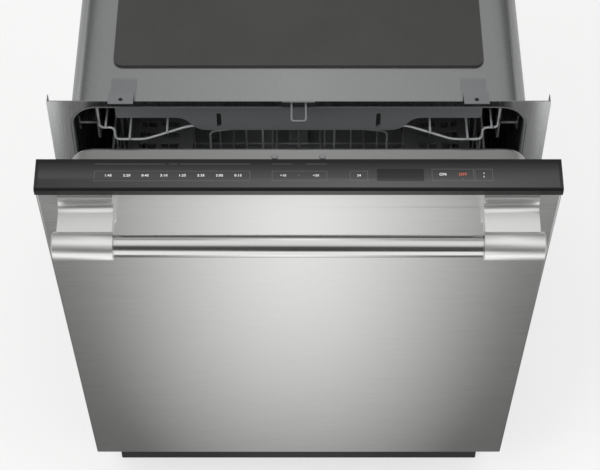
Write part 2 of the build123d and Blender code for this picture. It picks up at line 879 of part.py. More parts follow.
rack_depth = rack_back - rack_front
rack_middle = (rack_front + rack_back) / 2


def basket(half, bottom, top, low_rim, crosswise, lengthwise):
    """A wire basket: crosswise U wires under lengthwise U wires, inside two rims."""
    with BuildPart() as wires:
        with BuildSketch(*[across(y) for y in spread(rack_front + 24, rack_back - 24, crosswise)]):
            u_wires(half, bottom, top)
        extrude(amount=-wire)
        with BuildSketch(*[along(x) for x in spread(-half + 26, half - 26 - wire, lengthwise)]):
            with Locations((rack_middle, 0)):
                u_wires(rack_depth / 2, bottom + wire, top)
        extrude(amount=wire)
        for z in (low_rim, top - wire):
            add(rim(half, z))
    return wires.part


def floor_and_walls(rack, half, bottom):
    """A basket as its floor and its four walls, which touch."""
    return cut_apart(rack, -level(bottom + 3 * wire), along(half - 2 * wire),
                     -along(-half + 2 * wire), across(rack_front + 2 * wire),
                     -across(rack_back - 2 * wire))


def tine_line(y, z, xs, height):
    """A row of upright tines on a base wire that lies across the rack's floor."""
    with BuildPart() as row:
        with BuildSketch(level(z)):
            panel((xs[0] - tine_pitch / 2, xs[-1] + tine_pitch / 2), (y, y + wire))
        extrude(amount=wire)
        with BuildSketch(level(z + wire)):
            with Locations(*[(x, y + wire / 2) for x in xs]):
                Rectangle(wire, wire)
        extrude(amount=height)
    return row.part


tine_pitch = 36.0
upper_tine = 62.0
upper_low_rim = 596.0
upper_floor = upper_bottom + 2 * wire
hoop_y = 187.0
hoop_x = (46.0, 119.0)
hoop_top = (652.0, 640.0)
shelf_z = 606.0
shelf_pin_x = 228.0
shelf_in = 142.0
shelf_ys = (140.0, 470.0)
clip = 6.0
pin = 2.0
with BuildPart() as upper_rack:
    add(basket(upper_half, upper_bottom, upper_rim, upper_low_rim, 8, 8))
    for side in (-1, 1):
        for y in hanger_ys:
            block((side * (upper_half - 1), side * (upper_half + 2)), (y, y + hanger_width),
                  (upper_rail_z - 8, upper_rim))
    with BuildSketch(across(slide_front + 8)):
        runner(upper_rail_z, upper_half + 1)
    extrude(amount=slide_front - slide_back)

with BuildPart() as stem_wires:
    with BuildSketch(across(hoop_y)):
        Polygon((0, upper_floor), (0, upper_floor + wire), (hoop_x[0], upper_floor + wire),
                (hoop_x[0], hoop_top[0]), (hoop_x[1], hoop_top[1]), (hoop_x[1], upper_floor),
                align=None)
        Polygon((hoop_x[0] + wire, upper_floor + wire), (hoop_x[0] + wire, hoop_top[0] - wire),
                (hoop_x[1] - wire, hoop_top[1] - wire), (hoop_x[1] - wire, upper_floor + wire),
                align=None, mode=Mode.SUBTRACT)
        mirror(about=Plane.YZ)
    extrude(amount=-wire)

with BuildPart() as shelf_clips:
    for side in (-1, 1):
        for y in (shelf_ys[0] + clip, shelf_ys[1] - 2 * clip):
            block((side * (shelf_pin_x - clip + pin), side * (upper_half - wire)),
                  (y, y + clip), (upper_low_rim, shelf_z + clip - 1))
            with BuildSketch(across(y)):
                with Locations((side * shelf_pin_x, shelf_z)):
                    Circle(pin + running)
            extrude(amount=-clip, mode=Mode.SUBTRACT)

upper_tine_xs = spread(-5 * tine_pitch, 5 * tine_pitch, 11)
upper_rack.part = Part(children=[
    *floor_and_walls(upper_rack.part, upper_half, upper_bottom),
    *tine_line(rack_middle - 60, upper_floor, upper_tine_xs, upper_tine).solids(),
    *tine_line(rack_middle + 60, upper_floor, upper_tine_xs, upper_tine).solids(),
    *stem_wires.solids(), *shelf_clips.solids()])
save(upper_rack, "upper_rack", drawn_forward=hung_shift)

feed_z = (upper_bottom - 14.0, upper_bottom)
with BuildPart() as upper_feed_tube:
    with BuildSketch(across(sump_y - 18)):
        panel(both(14), feed_z, 4)
    extrude(amount=sump_y - 18 - manifold_y[0] + 8 + gap)
    with BuildSketch(level(feed_z[0])):
        with Locations((0, sump_y)):
            Circle(stem_radius)
    extrude(amount=-arm_height - 2)
save(upper_feed_tube, "upper_feed_tube", drawn_forward=hung_shift)

middle_spray_arm = spray_arm(feed_z[0] - 1 - arm_height, middle_arm_reach, 22, 10, arm_height,
                             stem_radius + running)
save(middle_spray_arm, "middle_spray_arm", drawn_forward=hung_shift)

# Cup shelves: louvred trays on a rod, which fold up against the upper rack's sides

shelf_thick = 3.0
louvre_rows = 15
louvre_pitch = 19.0
louvre_x = (173.0, 203.0)
for side, name in ((-1, "cup_shelf_left"), (1, "cup_shelf_right")):
    with BuildPart() as cup_shelf:
        with BuildSketch(across(shelf_ys[0])):
            with Locations((side * shelf_pin_x, shelf_z)):
                Circle(pin)
        extrude(amount=shelf_ys[0] - shelf_ys[1])
        with BuildSketch(level(shelf_z - shelf_thick / 2)):
            with Locations((side * (shelf_in + shelf_pin_x - 1) / 2, middle(shelf_ys))):
                Rectangle(shelf_pin_x - 1 - shelf_in, shelf_ys[1] - shelf_ys[0] - 40)
            with Locations(*[(side * x, y) for x in louvre_x
                             for y in spread(middle(shelf_ys) - 7 * louvre_pitch,
                                             middle(shelf_ys) + 7 * louvre_pitch, louvre_rows)]):
                Rectangle(23, 11, rotation=side * 8, mode=Mode.SUBTRACT)
        extrude(amount=shelf_thick)
    save(cup_shelf, name, drawn_forward=hung_shift)

# Lower rack: basket, wheel stubs, a fixed row of tines and two that fold

axle_radius = 3.0
wheel_z = ledge_z + play + wheel_radius
wheel_x = (260.0, 260.0 + wheel_width)
wheel_ys = (130.0, 474.0)
lower_tine = 84.0
lower_floor = lower_bottom + 2 * wire
lower_low_rim = 262.0
fixed_row_y = 250.0
fold_z = lower_floor + pin + play
fold_ys = (372.0, 436.0)
lower_tine_xs = spread(-6 * tine_pitch, 6 * tine_pitch, 13)
with BuildPart() as lower_rack:
    add(basket(lower_half, lower_bottom, lower_rim, lower_low_rim, 8, 9))
    for side in (-1, 1):
        for y in wheel_ys:
            block((side * (lower_half - wire), side * lower_half), (y - 12, y + 12),
                  (wheel_z - 5, lower_bottom + 75))
            with BuildSketch(along(side * lower_half)):
                with Locations((y, wheel_z)):
                    Circle(axle_radius)
            extrude(amount=side * (wheel_x[1] + 1 - lower_half))
lower_rack.part = Part(children=[
    *floor_and_walls(lower_rack.part, lower_half, lower_bottom),
    *tine_line(fixed_row_y, lower_floor, lower_tine_xs, lower_tine).solids()])
save(lower_rack, "lower_rack", drawn_forward=lower_shift)

for y, name in zip(wheel_ys, ("lower_front_wheels", "lower_rear_wheels")):
    with BuildPart() as wheels:
        with BuildSketch(along(wheel_x[0])):
            with Locations((y, wheel_z)):
                Circle(wheel_radius)
                Circle(axle_radius + running, mode=Mode.SUBTRACT)
        extrude(amount=wheel_width)
        with BuildSketch(along(wheel_x[1])):
            with Locations((y, wheel_z)):
                Circle(wheel_radius - 4)
                Circle(axle_radius + 3, mode=Mode.SUBTRACT)
        extrude(amount=-3, mode=Mode.SUBTRACT)
        mirror(about=Plane.YZ)
    save(wheels, name, drawn_forward=lower_shift)

for y, name in zip(fold_ys, ("tine_row_front", "tine_row_rear")):
    with BuildPart() as tine_row:
        with BuildSketch(along(-lower_half + 22)):
            with Locations((y, fold_z)):
                Circle(pin)
        extrude(amount=2 * lower_half - 44)
        with BuildSketch(level(fold_z)):
            with Locations(*[(x, y) for x in lower_tine_xs]):
                Rectangle(wire, wire)
        extrude(amount=lower_tine)
    save(tine_row, name, drawn_forward=lower_shift)

basket_half = 105.0
basket_y = (92.0, 174.0)
basket_z = (lower_floor + play, 330.0)
basket_wall = 2.0
basket_grip = 40.0
cell = (2 * basket_half - 4 * basket_wall) / 3
with BuildPart() as cutlery_basket:
    with BuildSketch(level(basket_z[0])):
        panel(both(basket_half), basket_y, 10)
    extrude(amount=basket_z[1] - basket_z[0])
    for i in range(3):
        x = -basket_half + basket_wall + i * (cell + basket_wall)
        with BuildSketch(level(basket_z[0] + basket_wall)):
            panel((x, x + cell), (basket_y[0] + basket_wall, basket_y[1] - basket_wall), 6)
        extrude(amount=basket_z[1], mode=Mode.SUBTRACT)
    with BuildSketch(across(middle(basket_y) - 5)):
        panel(both(35), (basket_z[1] - 20, basket_z[1] + basket_grip), 8)
        panel(both(27), (basket_z[1] - 30, basket_z[1] + basket_grip - 8), 5, mode=Mode.SUBTRACT)
    extrude(amount=-10)
save(cutlery_basket, "cutlery_basket", drawn_forward=lower_shift)

# Door: a stainless tray in front, a pressed liner behind, and the console over their top edges

panel_top = door_top - console_lip
panel_back = liner_y
with BuildPart() as outer_panel:
    with BuildSketch(across(door_front)):
        panel(both(panel_width / 2), (door_bottom, panel_top))
    extrude(amount=door_front - panel_back)
    fillet(outer_panel.edges().filter_by(Axis.Z).group_by(Axis.Y)[0], 2.5)
    block(both(panel_width / 2 - sheet), (door_front + sheet, panel_back + 1),
          (door_bottom + sheet, panel_top + 1), mode=Mode.SUBTRACT)
    block(both(panel_width), (door_front + 18, panel_back + 1), (door_bottom - 1, hinge_z + 14),
          mode=Mode.SUBTRACT)
    with BuildSketch(across(door_front)):
        with Locations(*[(side * x, z) for side in (-1, 1) for x in screw_xs for z in screw_zs]):
            Circle(screw_radius + play)
    extrude(amount=-sheet, mode=Mode.SUBTRACT)
save(outer_panel, "outer_panel", on_door=True)

notch_x = base_half - gap
notch_z = 172.0
window_x = (30.0, 196.0)
window_z = (500.0, 630.0)
strike_gap = 12.5


def plug(inset):
    """The liner's plug as a solid, or its hollow when it is inset by the sheet."""
    with BuildPart() as solid:
        with BuildSketch(across(liner_y)):
            panel(both(plug_width / 2 - inset), (plug_bottom + inset, plug_top - inset),
                  plug_corner - inset)
        extrude(amount=liner_y + inset - plug_y)
        fillet(solid.faces().sort_by(Axis.Y)[-1].edges(), plug_bevel - inset)
    return solid.part


with BuildPart() as door_liner:
    with BuildSketch(across(liner_y)):
        panel(both(panel_width / 2), (door_bottom + 4, door_top - 8))
    extrude(amount=-sheet)
    add(plug(0))
    add(plug(sheet), mode=Mode.SUBTRACT)
    with BuildSketch(across(liner_y)):
        panel(window_x, window_z, 6)
    extrude(amount=-2 * plug_depth, mode=Mode.SUBTRACT)
    block(both(strike_gap), (liner_y - 1, liner_y + sheet + 1), (plug_top + 2, door_top),
          mode=Mode.SUBTRACT)
    for side in (-1, 1):
        block((side * notch_x, side * panel_width), (liner_y - 1, liner_y + 2), (100, notch_z),
              mode=Mode.SUBTRACT)
        with Locations((side * latch_screw_x, latch_screw_y, plug_top)):
            Hole(latch_screw_radius + 0.2, depth=2 * sheet)
save(door_liner, "door_liner", on_door=True)

felt_half = 272.0
felt_z = (150.0, 782.0)
felt_thick = 16.0
with BuildPart() as door_insulation:
    with BuildSketch(across(door_front + sheet)):
        panel(both(felt_half), felt_z, 10)
    extrude(amount=-felt_thick)
save(door_insulation, "door_insulation", on_door=True)

seal_half = 262.0
seal_z = (138.0, 152.0)
seal_lip = 2.8
with BuildPart() as door_bottom_seal:
    with BuildSketch(along(-seal_half)):
        Polygon((liner_y + sheet, seal_z[0]), (liner_y + sheet, seal_z[1]),
                (liner_y + sheet + seal_lip, seal_z[1] - 6))
    extrude(amount=2 * seal_half)
save(door_bottom_seal, "door_bottom_seal", on_door=True)

console_wall = 2.5
glass_inset = 3.5
glass_thick = 1.8
board_z = 846.0
board_thick = 1.6
skirt_y = liner_y + sheet
top_wall = 3.5
edge_bevel = 2.5
with BuildPart() as console_housing:
    with BuildSketch(along(-console_width / 2)):
        Polygon((door_front, panel_top), (door_front, door_top - edge_bevel),
                (door_front + edge_bevel, door_top), (door_back, door_top),
                (door_back, plug_top), (skirt_y, plug_top), (skirt_y, door_top - top_wall),
                (door_front + console_wall, door_top - top_wall),
                (door_front + console_wall, panel_top))
    extrude(amount=console_width)
    for side in (-1, 1):
        with BuildSketch(along(side * console_width / 2)):
            Polygon((door_front, panel_top), (door_front, door_top - edge_bevel),
                    (door_front + edge_bevel, door_top), (door_back, door_top),
                    (door_back, panel_top))
        extrude(amount=-side * (console_width / 2 - panel_width / 2))
    block(both(console_width / 2 - glass_inset), (door_front + glass_inset, door_back - glass_inset),
          (door_top - glass_thick, door_top + 1), mode=Mode.SUBTRACT)
    block(both(strike_gap), (skirt_y - 1, door_back + 1), (plug_top + 2, door_top - 4),
          mode=Mode.SUBTRACT)
    with BuildSketch(level(board_z + board_thick)):
        with Locations(*[(x, -8) for x in board_posts]):
            Circle(3)
    extrude(amount=door_top - top_wall - board_z - board_thick)
save(console_housing, "console_housing", on_door=True)

with BuildPart() as console_glass:
    with BuildSketch(level(door_top - glass_thick)):
        panel(both(console_width / 2 - glass_inset), (door_front + glass_inset,
                                                      door_back - glass_inset))
    extrude(amount=glass_thick)
save(console_glass, "console_glass", on_door=True)

with BuildPart() as control_board:
    with BuildSketch(level(board_z)):
        panel((board_posts[0] - 15, board_posts[1] + 15), (-22, 8), 2)
    extrude(amount=board_thick)
    with BuildSketch(level(board_z)):
        panel((80, 128), (-16, -2))
        panel((160, 176), (-12, 0))
        panel((200, 220), (-16, 2))
    extrude(amount=-5)
save(control_board, "control_board", on_door=True)

# Latch: a housing under the console, a pawl that rises into the strike's loop, and two screws

latch_pin_y = -18.5
latch_pin_z = 834.0
latch_drop = 20.0
latch_pin = 2.0
latch_half = 30.0
latch_floor = (820.0, 823.0)
latch_tongue = 3.0
with BuildPart() as latch_housing:
    block(both(latch_half), (door_front + sheet + gap, liner_y), (latch_floor[0], panel_top - gap))
    block(both(latch_half + 6), (liner_y - 4, latch_screw_y + 7),
          (plug_top - sheet - latch_tongue, plug_top - sheet))
    block(both(strike_gap), (door_front + 4, liner_y + 1), (latch_floor[1], panel_top),
          mode=Mode.SUBTRACT)
    block(both(strike_gap), (liner_y - 1, liner_y + 12), (plug_top - 9, plug_top - sheet + 1),
          mode=Mode.SUBTRACT)
    with BuildSketch(along(-strike_gap)):
        with Locations((latch_pin_y, latch_pin_z)):
            Circle(latch_pin)
    extrude(amount=2 * strike_gap)
    for side in (-1, 1):
        with Locations((side * latch_screw_x, latch_screw_y, plug_top - sheet)):
            Hole(latch_screw_radius, depth=6)
save(latch_housing, "latch_housing", on_door=True)

pawl_half = 4.0
with BuildPart() as latch_pawl:
    with BuildSketch(along(-pawl_half)):
        with Locations((latch_pin_y, latch_pin_z)):
            Circle(4.5)
        with Locations((latch_pin_y, latch_pin_z)):
            Polygon((0, -3), (15.5, -3), (15.5, 12.5), (12.5, 12.5), (11, 9), (11, 2.5), (0, 2.5))
        with Locations((latch_pin_y, latch_pin_z)):
            Circle(latch_pin + running, mode=Mode.SUBTRACT)
    extrude(amount=2 * pawl_half)
latch_pawl.part = latch_pawl.part.rotate(Axis((0, latch_pin_y, latch_pin_z), (1, 0, 0)),
                                         -latch_drop)
save(latch_pawl, "latch_pawl", on_door=True)

latch_screw_head = 4.2
with BuildPart() as latch_screws:
    for side in (-1, 1):
        with BuildSketch(level(plug_top)):
            with Locations((side * latch_screw_x, latch_screw_y)):
                Circle(latch_screw_head)
        extrude(amount=1.2, taper=30)
        with BuildSketch(level(plug_top)):
            with Locations((side * latch_screw_x, latch_screw_y)):
                Circle(latch_screw_radius)
        extrude(amount=-sheet - 3)
save(latch_screws, "latch_screws", on_door=True)

# Dispenser: a housing in the liner's window, a sliding lid and a rinse aid cap

bezel_x = (-54.0, 212.0)
bezel_z = (492.0, 638.0)
bezel_y = plug_y + 2.2
chamber_x = (40.0, 118.0)
chamber_z = (520.0, 604.0)
lid_x = (36.0, 122.0)
lid_z = (515.0, 609.0)
lid_thick = 2.0
cap_x = 165.0
cap_z = 562.0
cap_reach = 20.0
cap_stem = 9.0
chamber_depth = 26.0
with BuildPart() as dispenser_housing:
    with BuildSketch(across(bezel_y)):
        panel(bezel_x, bezel_z, 8)
    extrude(amount=bezel_y - plug_y)
    with BuildSketch(across(plug_y)):
        panel((window_x[0] + play, window_x[1] - play), (window_z[0] + play, window_z[1] - play), 6)
    extrude(amount=30)
    with BuildSketch(across(bezel_y)):
        panel(chamber_x, chamber_z, 10)
    extrude(amount=chamber_depth, mode=Mode.SUBTRACT)
    for z in (lid_z[0] - 2 - play, lid_z[1] + play):
        block((bezel_x[0] + 6, lid_x[1] + 4), (bezel_y, bezel_y + lid_thick + 1), (z, z + 2))
    with BuildSketch(across(bezel_y)):
        with Locations((cap_x, cap_z)):
            Circle(cap_stem + running)
    extrude(amount=20, mode=Mode.SUBTRACT)
save(dispenser_housing, "dispenser_housing", on_door=True)

with BuildPart() as detergent_lid:
    with BuildSketch(across(bezel_y + play)):
        panel(lid_x, lid_z, 2)
    extrude(amount=-lid_thick)
    block((lid_x[1] - 10, lid_x[1] - 7), (bezel_y + 1, bezel_y + 5), (540, 584))
save(detergent_lid, "detergent_lid", on_door=True)

with BuildPart() as rinse_cap:
    with BuildSketch(across(bezel_y + play)):
        with Locations((cap_x, cap_z)):
            Circle(cap_reach)
    extrude(amount=-4)
    with BuildSketch(across(bezel_y + play)):
        with Locations((cap_x, cap_z)):
            Circle(cap_stem)
    extrude(amount=16)
    block((cap_x - cap_reach + 4, cap_x + cap_reach - 4), (bezel_y + 3, bezel_y + 8),
          (cap_z - 3, cap_z + 3))
save(rinse_cap, "rinse_cap", on_door=True)

# Handle: two cast posts with end sleeves, the bar between them, and screws from inside the door

bar_y = door_front - handle_reach
bar_z = door_top - handle_drop
cap_floor = 6.0
bar_wall = 1.5
neck_half = 11.0
neck_foot = 5.0
neck_round = 9.0
with BuildPart() as handle_posts:
    with BuildSketch(along(neck_inner)):
        with BuildLine():
            base_top = panel_top - gap
            base_low = bar_z - (base_top - bar_z)
            base_y = door_front - neck_foot
            round_y = base_y - neck_round
            Polyline((base_y, bar_z - neck_half - neck_round), (base_y, base_low),
                     (door_front, base_low), (door_front, base_top), (base_y, base_top),
                     (base_y, bar_z + neck_half + neck_round))
            RadiusArc((base_y, bar_z + neck_half + neck_round), (round_y, bar_z + neck_half),
                      neck_round)
            Polyline((round_y, bar_z + neck_half), (bar_y, bar_z + neck_half),
                     (bar_y, bar_z - neck_half), (round_y, bar_z - neck_half))
            RadiusArc((round_y, bar_z - neck_half), (base_y, bar_z - neck_half - neck_round),
                      neck_round)
        make_face()
    extrude(amount=neck_outer - neck_inner)
    with BuildSketch(along(cap_inner)):
        with Locations((bar_y, bar_z)):
            Circle(cap_radius)
    extrude(amount=cap_outer - cap_inner)
    chamfer(handle_posts.faces().sort_by(Axis.X)[-1].edges(), 1.5)
    with BuildSketch(along(cap_inner)):
        with Locations((bar_y, bar_z)):
            Circle(handle_bar_radius)
    extrude(amount=cap_outer - cap_inner - cap_floor, mode=Mode.SUBTRACT)
    with BuildSketch(across(door_front)):
        with Locations(*[(x, z) for x in screw_xs for z in screw_zs]):
            Circle(screw_radius)
    extrude(amount=14, mode=Mode.SUBTRACT)
    mirror(about=Plane.YZ)
save(handle_posts, "handle_posts", on_door=True)

with BuildPart() as handle_bar:
    with BuildSketch(along(-cap_outer + cap_floor)):
        with Locations((bar_y, bar_z)):
            Circle(handle_bar_radius)
            Circle(handle_bar_radius - bar_wall, mode=Mode.SUBTRACT)
    extrude(amount=2 * (cap_outer - cap_floor))
save(handle_bar, "handle_bar", on_door=True)

with BuildPart() as handle_screws:
    with BuildSketch(across(door_front + sheet)):
        with Locations(*[(side * x, z) for side in (-1, 1) for x in screw_xs for z in screw_zs]):
            Circle(5)
    extrude(amount=-3)
    with BuildSketch(across(door_front + sheet)):
        with Locations(*[(side * x, z) for side in (-1, 1) for x in screw_xs for z in screw_zs]):
            Circle(screw_radius)
    extrude(amount=13)
save(handle_screws, "handle_screws", on_door=True)
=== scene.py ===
"""The looks of the built-in dishwasher: materials, round wires, springs, print, floor and light.

Metres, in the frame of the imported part. The door stands ajar at rest and the racks are drawn a
little forward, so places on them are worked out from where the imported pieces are.
"""

import json
from math import cos, pi, radians, sin

import bmesh
import bpy
from mathutils import Matrix, Vector


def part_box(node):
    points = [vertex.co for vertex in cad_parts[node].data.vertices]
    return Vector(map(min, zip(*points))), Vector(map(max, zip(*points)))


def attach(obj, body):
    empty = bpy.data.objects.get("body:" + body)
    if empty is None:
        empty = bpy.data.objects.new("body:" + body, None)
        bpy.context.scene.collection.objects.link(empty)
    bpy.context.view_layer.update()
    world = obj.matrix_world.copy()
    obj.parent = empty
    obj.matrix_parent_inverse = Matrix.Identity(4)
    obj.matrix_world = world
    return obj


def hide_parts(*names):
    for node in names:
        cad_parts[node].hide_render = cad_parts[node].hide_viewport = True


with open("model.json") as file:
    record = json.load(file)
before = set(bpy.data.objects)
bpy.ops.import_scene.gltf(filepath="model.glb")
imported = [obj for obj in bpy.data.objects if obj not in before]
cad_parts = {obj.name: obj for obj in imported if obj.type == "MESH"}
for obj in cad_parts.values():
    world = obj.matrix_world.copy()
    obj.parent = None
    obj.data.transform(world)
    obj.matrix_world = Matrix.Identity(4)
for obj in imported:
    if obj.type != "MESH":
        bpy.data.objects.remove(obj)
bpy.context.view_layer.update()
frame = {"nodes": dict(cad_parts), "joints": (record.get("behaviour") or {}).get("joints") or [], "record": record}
nodes = frame["nodes"]
mm = 0.001

# The pose of the door at rest, which takes a place on the shut door to where it is shown
door_joint = next(j for j in frame["joints"] if j["name"] == "door_hinge")
hinge = Vector(door_joint["pos_m"])
ajar = radians(-door_joint["range_deg"][0])
door_pose = Matrix.Translation(hinge) @ Matrix.Rotation(ajar, 4, "X") @ Matrix.Translation(-hinge)


# Materials

# Most of a noise lies between these values
noise_low, noise_high = 0.3, 0.7


def new_material(name, color, metallic, roughness):
    """A material and its shader, which the texture nodes feed."""
    material = bpy.data.materials.new(name)
    material.use_nodes = True
    shader = material.node_tree.nodes["Principled BSDF"]
    shader.inputs["Base Color"].default_value = (*color, 1)
    shader.inputs["Metallic"].default_value = metallic
    shader.inputs["Roughness"].default_value = roughness
    return material, shader


def noise(material, scale, detail=3.0, roughness=0.5):
    """A noise over the object's own coordinates, stretched by a scale for each axis."""
    tree = material.node_tree
    place = tree.nodes.new("ShaderNodeTexCoord")
    mapping = tree.nodes.new("ShaderNodeMapping")
    mapping.inputs["Scale"].default_value = scale
    texture = tree.nodes.new("ShaderNodeTexNoise")
    texture.inputs["Scale"].default_value = 1.0
    texture.inputs["Detail"].default_value = detail
    texture.inputs["Roughness"].default_value = roughness
    tree.links.new(place.outputs["Object"], mapping.inputs["Vector"])
    tree.links.new(mapping.outputs["Vector"], texture.inputs["Vector"])
    return texture.outputs["Fac"]


def spread_to(owner, source, low, high, socket, from_low=noise_low, from_high=noise_high):
    """Feeds a socket of a material or world with a source, mapped from one range to another."""
    tree = owner.node_tree
    ramp = tree.nodes.new("ShaderNodeMapRange")
    ramp.inputs["From Min"].default_value = from_low
    ramp.inputs["From Max"].default_value = from_high
    ramp.inputs["To Min"].default_value = low
    ramp.inputs["To Max"].default_value = high
    tree.links.new(source, ramp.inputs["Value"])
    tree.links.new(ramp.outputs["Result"], socket)


def tint(material, shader, source, dark, light):
    """Varies the base colour between two colours with a noise."""
    tree = material.node_tree
    ramp = tree.nodes.new("ShaderNodeValToRGB")
    ramp.color_ramp.elements[0].position = noise_low
    ramp.color_ramp.elements[0].color = (*dark, 1)
    ramp.color_ramp.elements[1].position = noise_high
    ramp.color_ramp.elements[1].color = (*light, 1)
    tree.links.new(source, ramp.inputs["Fac"])
    tree.links.new(ramp.outputs["Color"], shader.inputs["Base Color"])


def bump(material, shader, source, depth):
    """Raises the surface by a noise, by depth metres."""
    tree = material.node_tree
    node = tree.nodes.new("ShaderNodeBump")
    node.inputs["Strength"].default_value = 1.0
    node.inputs["Distance"].default_value = depth
    tree.links.new(source, node.inputs["Height"])
    tree.links.new(node.outputs["Normal"], shader.inputs["Normal"])


def scaled(color, factor):
    return tuple(min(1.0, c * factor) for c in color)


def brushed(name, color, roughness, scale, contrast=0.06):
    """Metal with fine lines along the axis whose scale is small."""
    spread = 0.05
    depth = 0.006 * mm
    material, shader = new_material(name, color, 1.0, roughness)
    lines = noise(material, scale, detail=5.0, roughness=0.65)
    tint(material, shader, lines, scaled(color, 1 - contrast), scaled(color, 1 + contrast))
    spread_to(material, lines, roughness - spread, roughness + spread, shader.inputs["Roughness"])
    bump(material, shader, lines, depth)
    return material


def grained(name, color, roughness, grain=900.0, contrast=0.05, depth=0.02 * mm, metallic=0.0,
            coat=0.0):
    """A moulded, painted or cast surface with a fine even grain and faint clouds."""
    cloud = 14
    spread = 0.04
    smoothest = 0.02
    material, shader = new_material(name, color, metallic, roughness)
    shader.inputs["Coat Weight"].default_value = coat
    grains = noise(material, (grain, grain, grain))
    clouds = noise(material, (cloud, cloud, cloud))
    tint(material, shader, clouds, scaled(color, 1 - contrast), scaled(color, 1 + contrast))
    spread_to(material, grains, max(smoothest, roughness - spread), roughness + spread,
              shader.inputs["Roughness"])
    bump(material, shader, grains, depth)
    return material


# Scales of the brushed lines: few to the metre along the line, many across it
along, across = 12, 1500
along_x = (along, across, across)
along_y = (across, along, across)
along_z = (across, across, along)

materials = {
    "brushed_stainless": brushed("brushed_stainless", (0.56, 0.56, 0.55), 0.31, along_x),
    "polished_stainless": brushed("polished_stainless", (0.60, 0.61, 0.61), 0.25, along_z, 0.03),
    "handle_steel": brushed("handle_steel", (0.60, 0.60, 0.59), 0.18, along_x, 0.04),
    "console_black": grained("console_black", (0.006, 0.006, 0.0065), 0.30, depth=0.002 * mm),
    "glass_black": grained("glass_black", (0.004, 0.004, 0.0045), 0.22, depth=0.001 * mm,
                           coat=1.0),
    "wire_grey": grained("wire_grey", (0.50, 0.51, 0.52), 0.35, coat=0.2),
    "rail_steel": brushed("rail_steel", (0.42, 0.42, 0.42), 0.28, along_y),
    "zinc_steel": grained("zinc_steel", (0.50, 0.51, 0.52), 0.34, grain=500.0, metallic=1.0),
    "kick_black": grained("kick_black", (0.03, 0.03, 0.032), 0.42),
    "base_plastic": grained("base_plastic", (0.055, 0.056, 0.06), 0.5),
    "grey_plastic": grained("grey_plastic", (0.30, 0.31, 0.32), 0.42),
    "white_nylon": grained("white_nylon", (0.66, 0.66, 0.64), 0.42),
    "rubber_black": grained("rubber_black", (0.022, 0.022, 0.022), 0.6),
    "bitumen": grained("bitumen", (0.035, 0.035, 0.034), 0.75, grain=260.0, depth=0.2 * mm),
    "felt": grained("felt", (0.36, 0.34, 0.31), 0.95, grain=400.0, contrast=0.15,
                    depth=0.4 * mm),
    "circuit_green": grained("circuit_green", (0.02, 0.13, 0.05), 0.35, coat=0.4),
    "pump_grey": grained("pump_grey", (0.16, 0.17, 0.18), 0.45),
    "cable_grey": grained("cable_grey", (0.22, 0.22, 0.22), 0.5, grain=1600.0),
}
print_white = grained("print_white", (0.75, 0.75, 0.73), 0.5)
print_grey = grained("print_grey", (0.10, 0.10, 0.10), 0.5)
print_red = grained("print_red", (0.55, 0.10, 0.05), 0.5)
display_black = grained("display_black", (0.004, 0.004, 0.004), 0.12, depth=0.002 * mm)

# Copies of their slot's material, darker or lighter to paint light and shade onto these pieces: painted shade on
# the third rack's front and the cup shelves deep in the tub, a lighter grey on the gasket as a painted reflection,
# and brighter steel on the handle posts, partly their own finish and partly a painted highlight
# Darker grey for the cup shelves: painted shade
shelf_painted_shade = grained("shelf_painted_shade", (0.20, 0.205, 0.21), 0.4)
painted_light_copies = {
    # Brighter steel than the bar: partly the posts' own finish, partly a painted highlight
    "handle_posts": brushed("post_steel_and_painted_highlight", (0.78, 0.78, 0.77), 0.42, along_x, 0.03),
    # Lighter grey than the black rubber: a painted reflection along the gasket
    "tub_gasket": grained("gasket_painted_reflection", (0.16, 0.165, 0.17), 0.32, coat=0.3),
    # Darker grey: painted shade on the third rack's front
    "third_rack_front": grained("front_painted_shade", (0.15, 0.155, 0.16), 0.4),
    "cup_shelf_left": shelf_painted_shade,
    "cup_shelf_right": shelf_painted_shade,
}

# Pieces listed above take their copy with painted light or shade instead of their slot's material
for part in frame["record"]["subparts"]:
    for material_slot in nodes[part["node"]].material_slots:
        material_slot.material = painted_light_copies.get(part["node"], materials[part["material_slot"]])


# Helpers for new pieces

def finish_piece(mesh, name, body, slot, replaced=(), smooth=True, pose=None, material=None):
    """Makes a piece of a mesh: its finish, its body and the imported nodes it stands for."""
    if pose is not None:
        mesh.transform(pose)
    mesh.materials.clear()
    mesh.materials.append(material or materials[slot])
    for polygon in mesh.polygons:
        polygon.use_smooth = smooth
    piece = bpy.data.objects.new(name, mesh)
    bpy.context.scene.collection.objects.link(piece)
    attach(piece, body)
    if replaced:
        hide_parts(*replaced)


def merged(name, meshes):
    """One mesh of several, which aren't kept."""
    joined = bmesh.new()
    for mesh in meshes:
        joined.from_mesh(mesh)
        bpy.data.meshes.remove(mesh)
    mesh = bpy.data.meshes.new(name)
    joined.to_mesh(mesh)
    joined.free()
    return mesh


def mesh_of(curve):
    """A mesh of a curve, which isn't kept."""
    carrier = bpy.data.objects.new(curve.name, curve)
    mesh = bpy.data.meshes.new_from_object(carrier)
    bpy.data.objects.remove(carrier)
    bpy.data.curves.remove(curve)
    return mesh


def wire_curve(diameter, bevel_resolution):
    """A curve without lines yet, that makes round wires of them."""
    curve = bpy.data.curves.new("wires", "CURVE")
    curve.dimensions = "3D"
    curve.bevel_depth = diameter / 2
    curve.bevel_resolution = bevel_resolution
    curve.use_fill_caps = True
    return curve


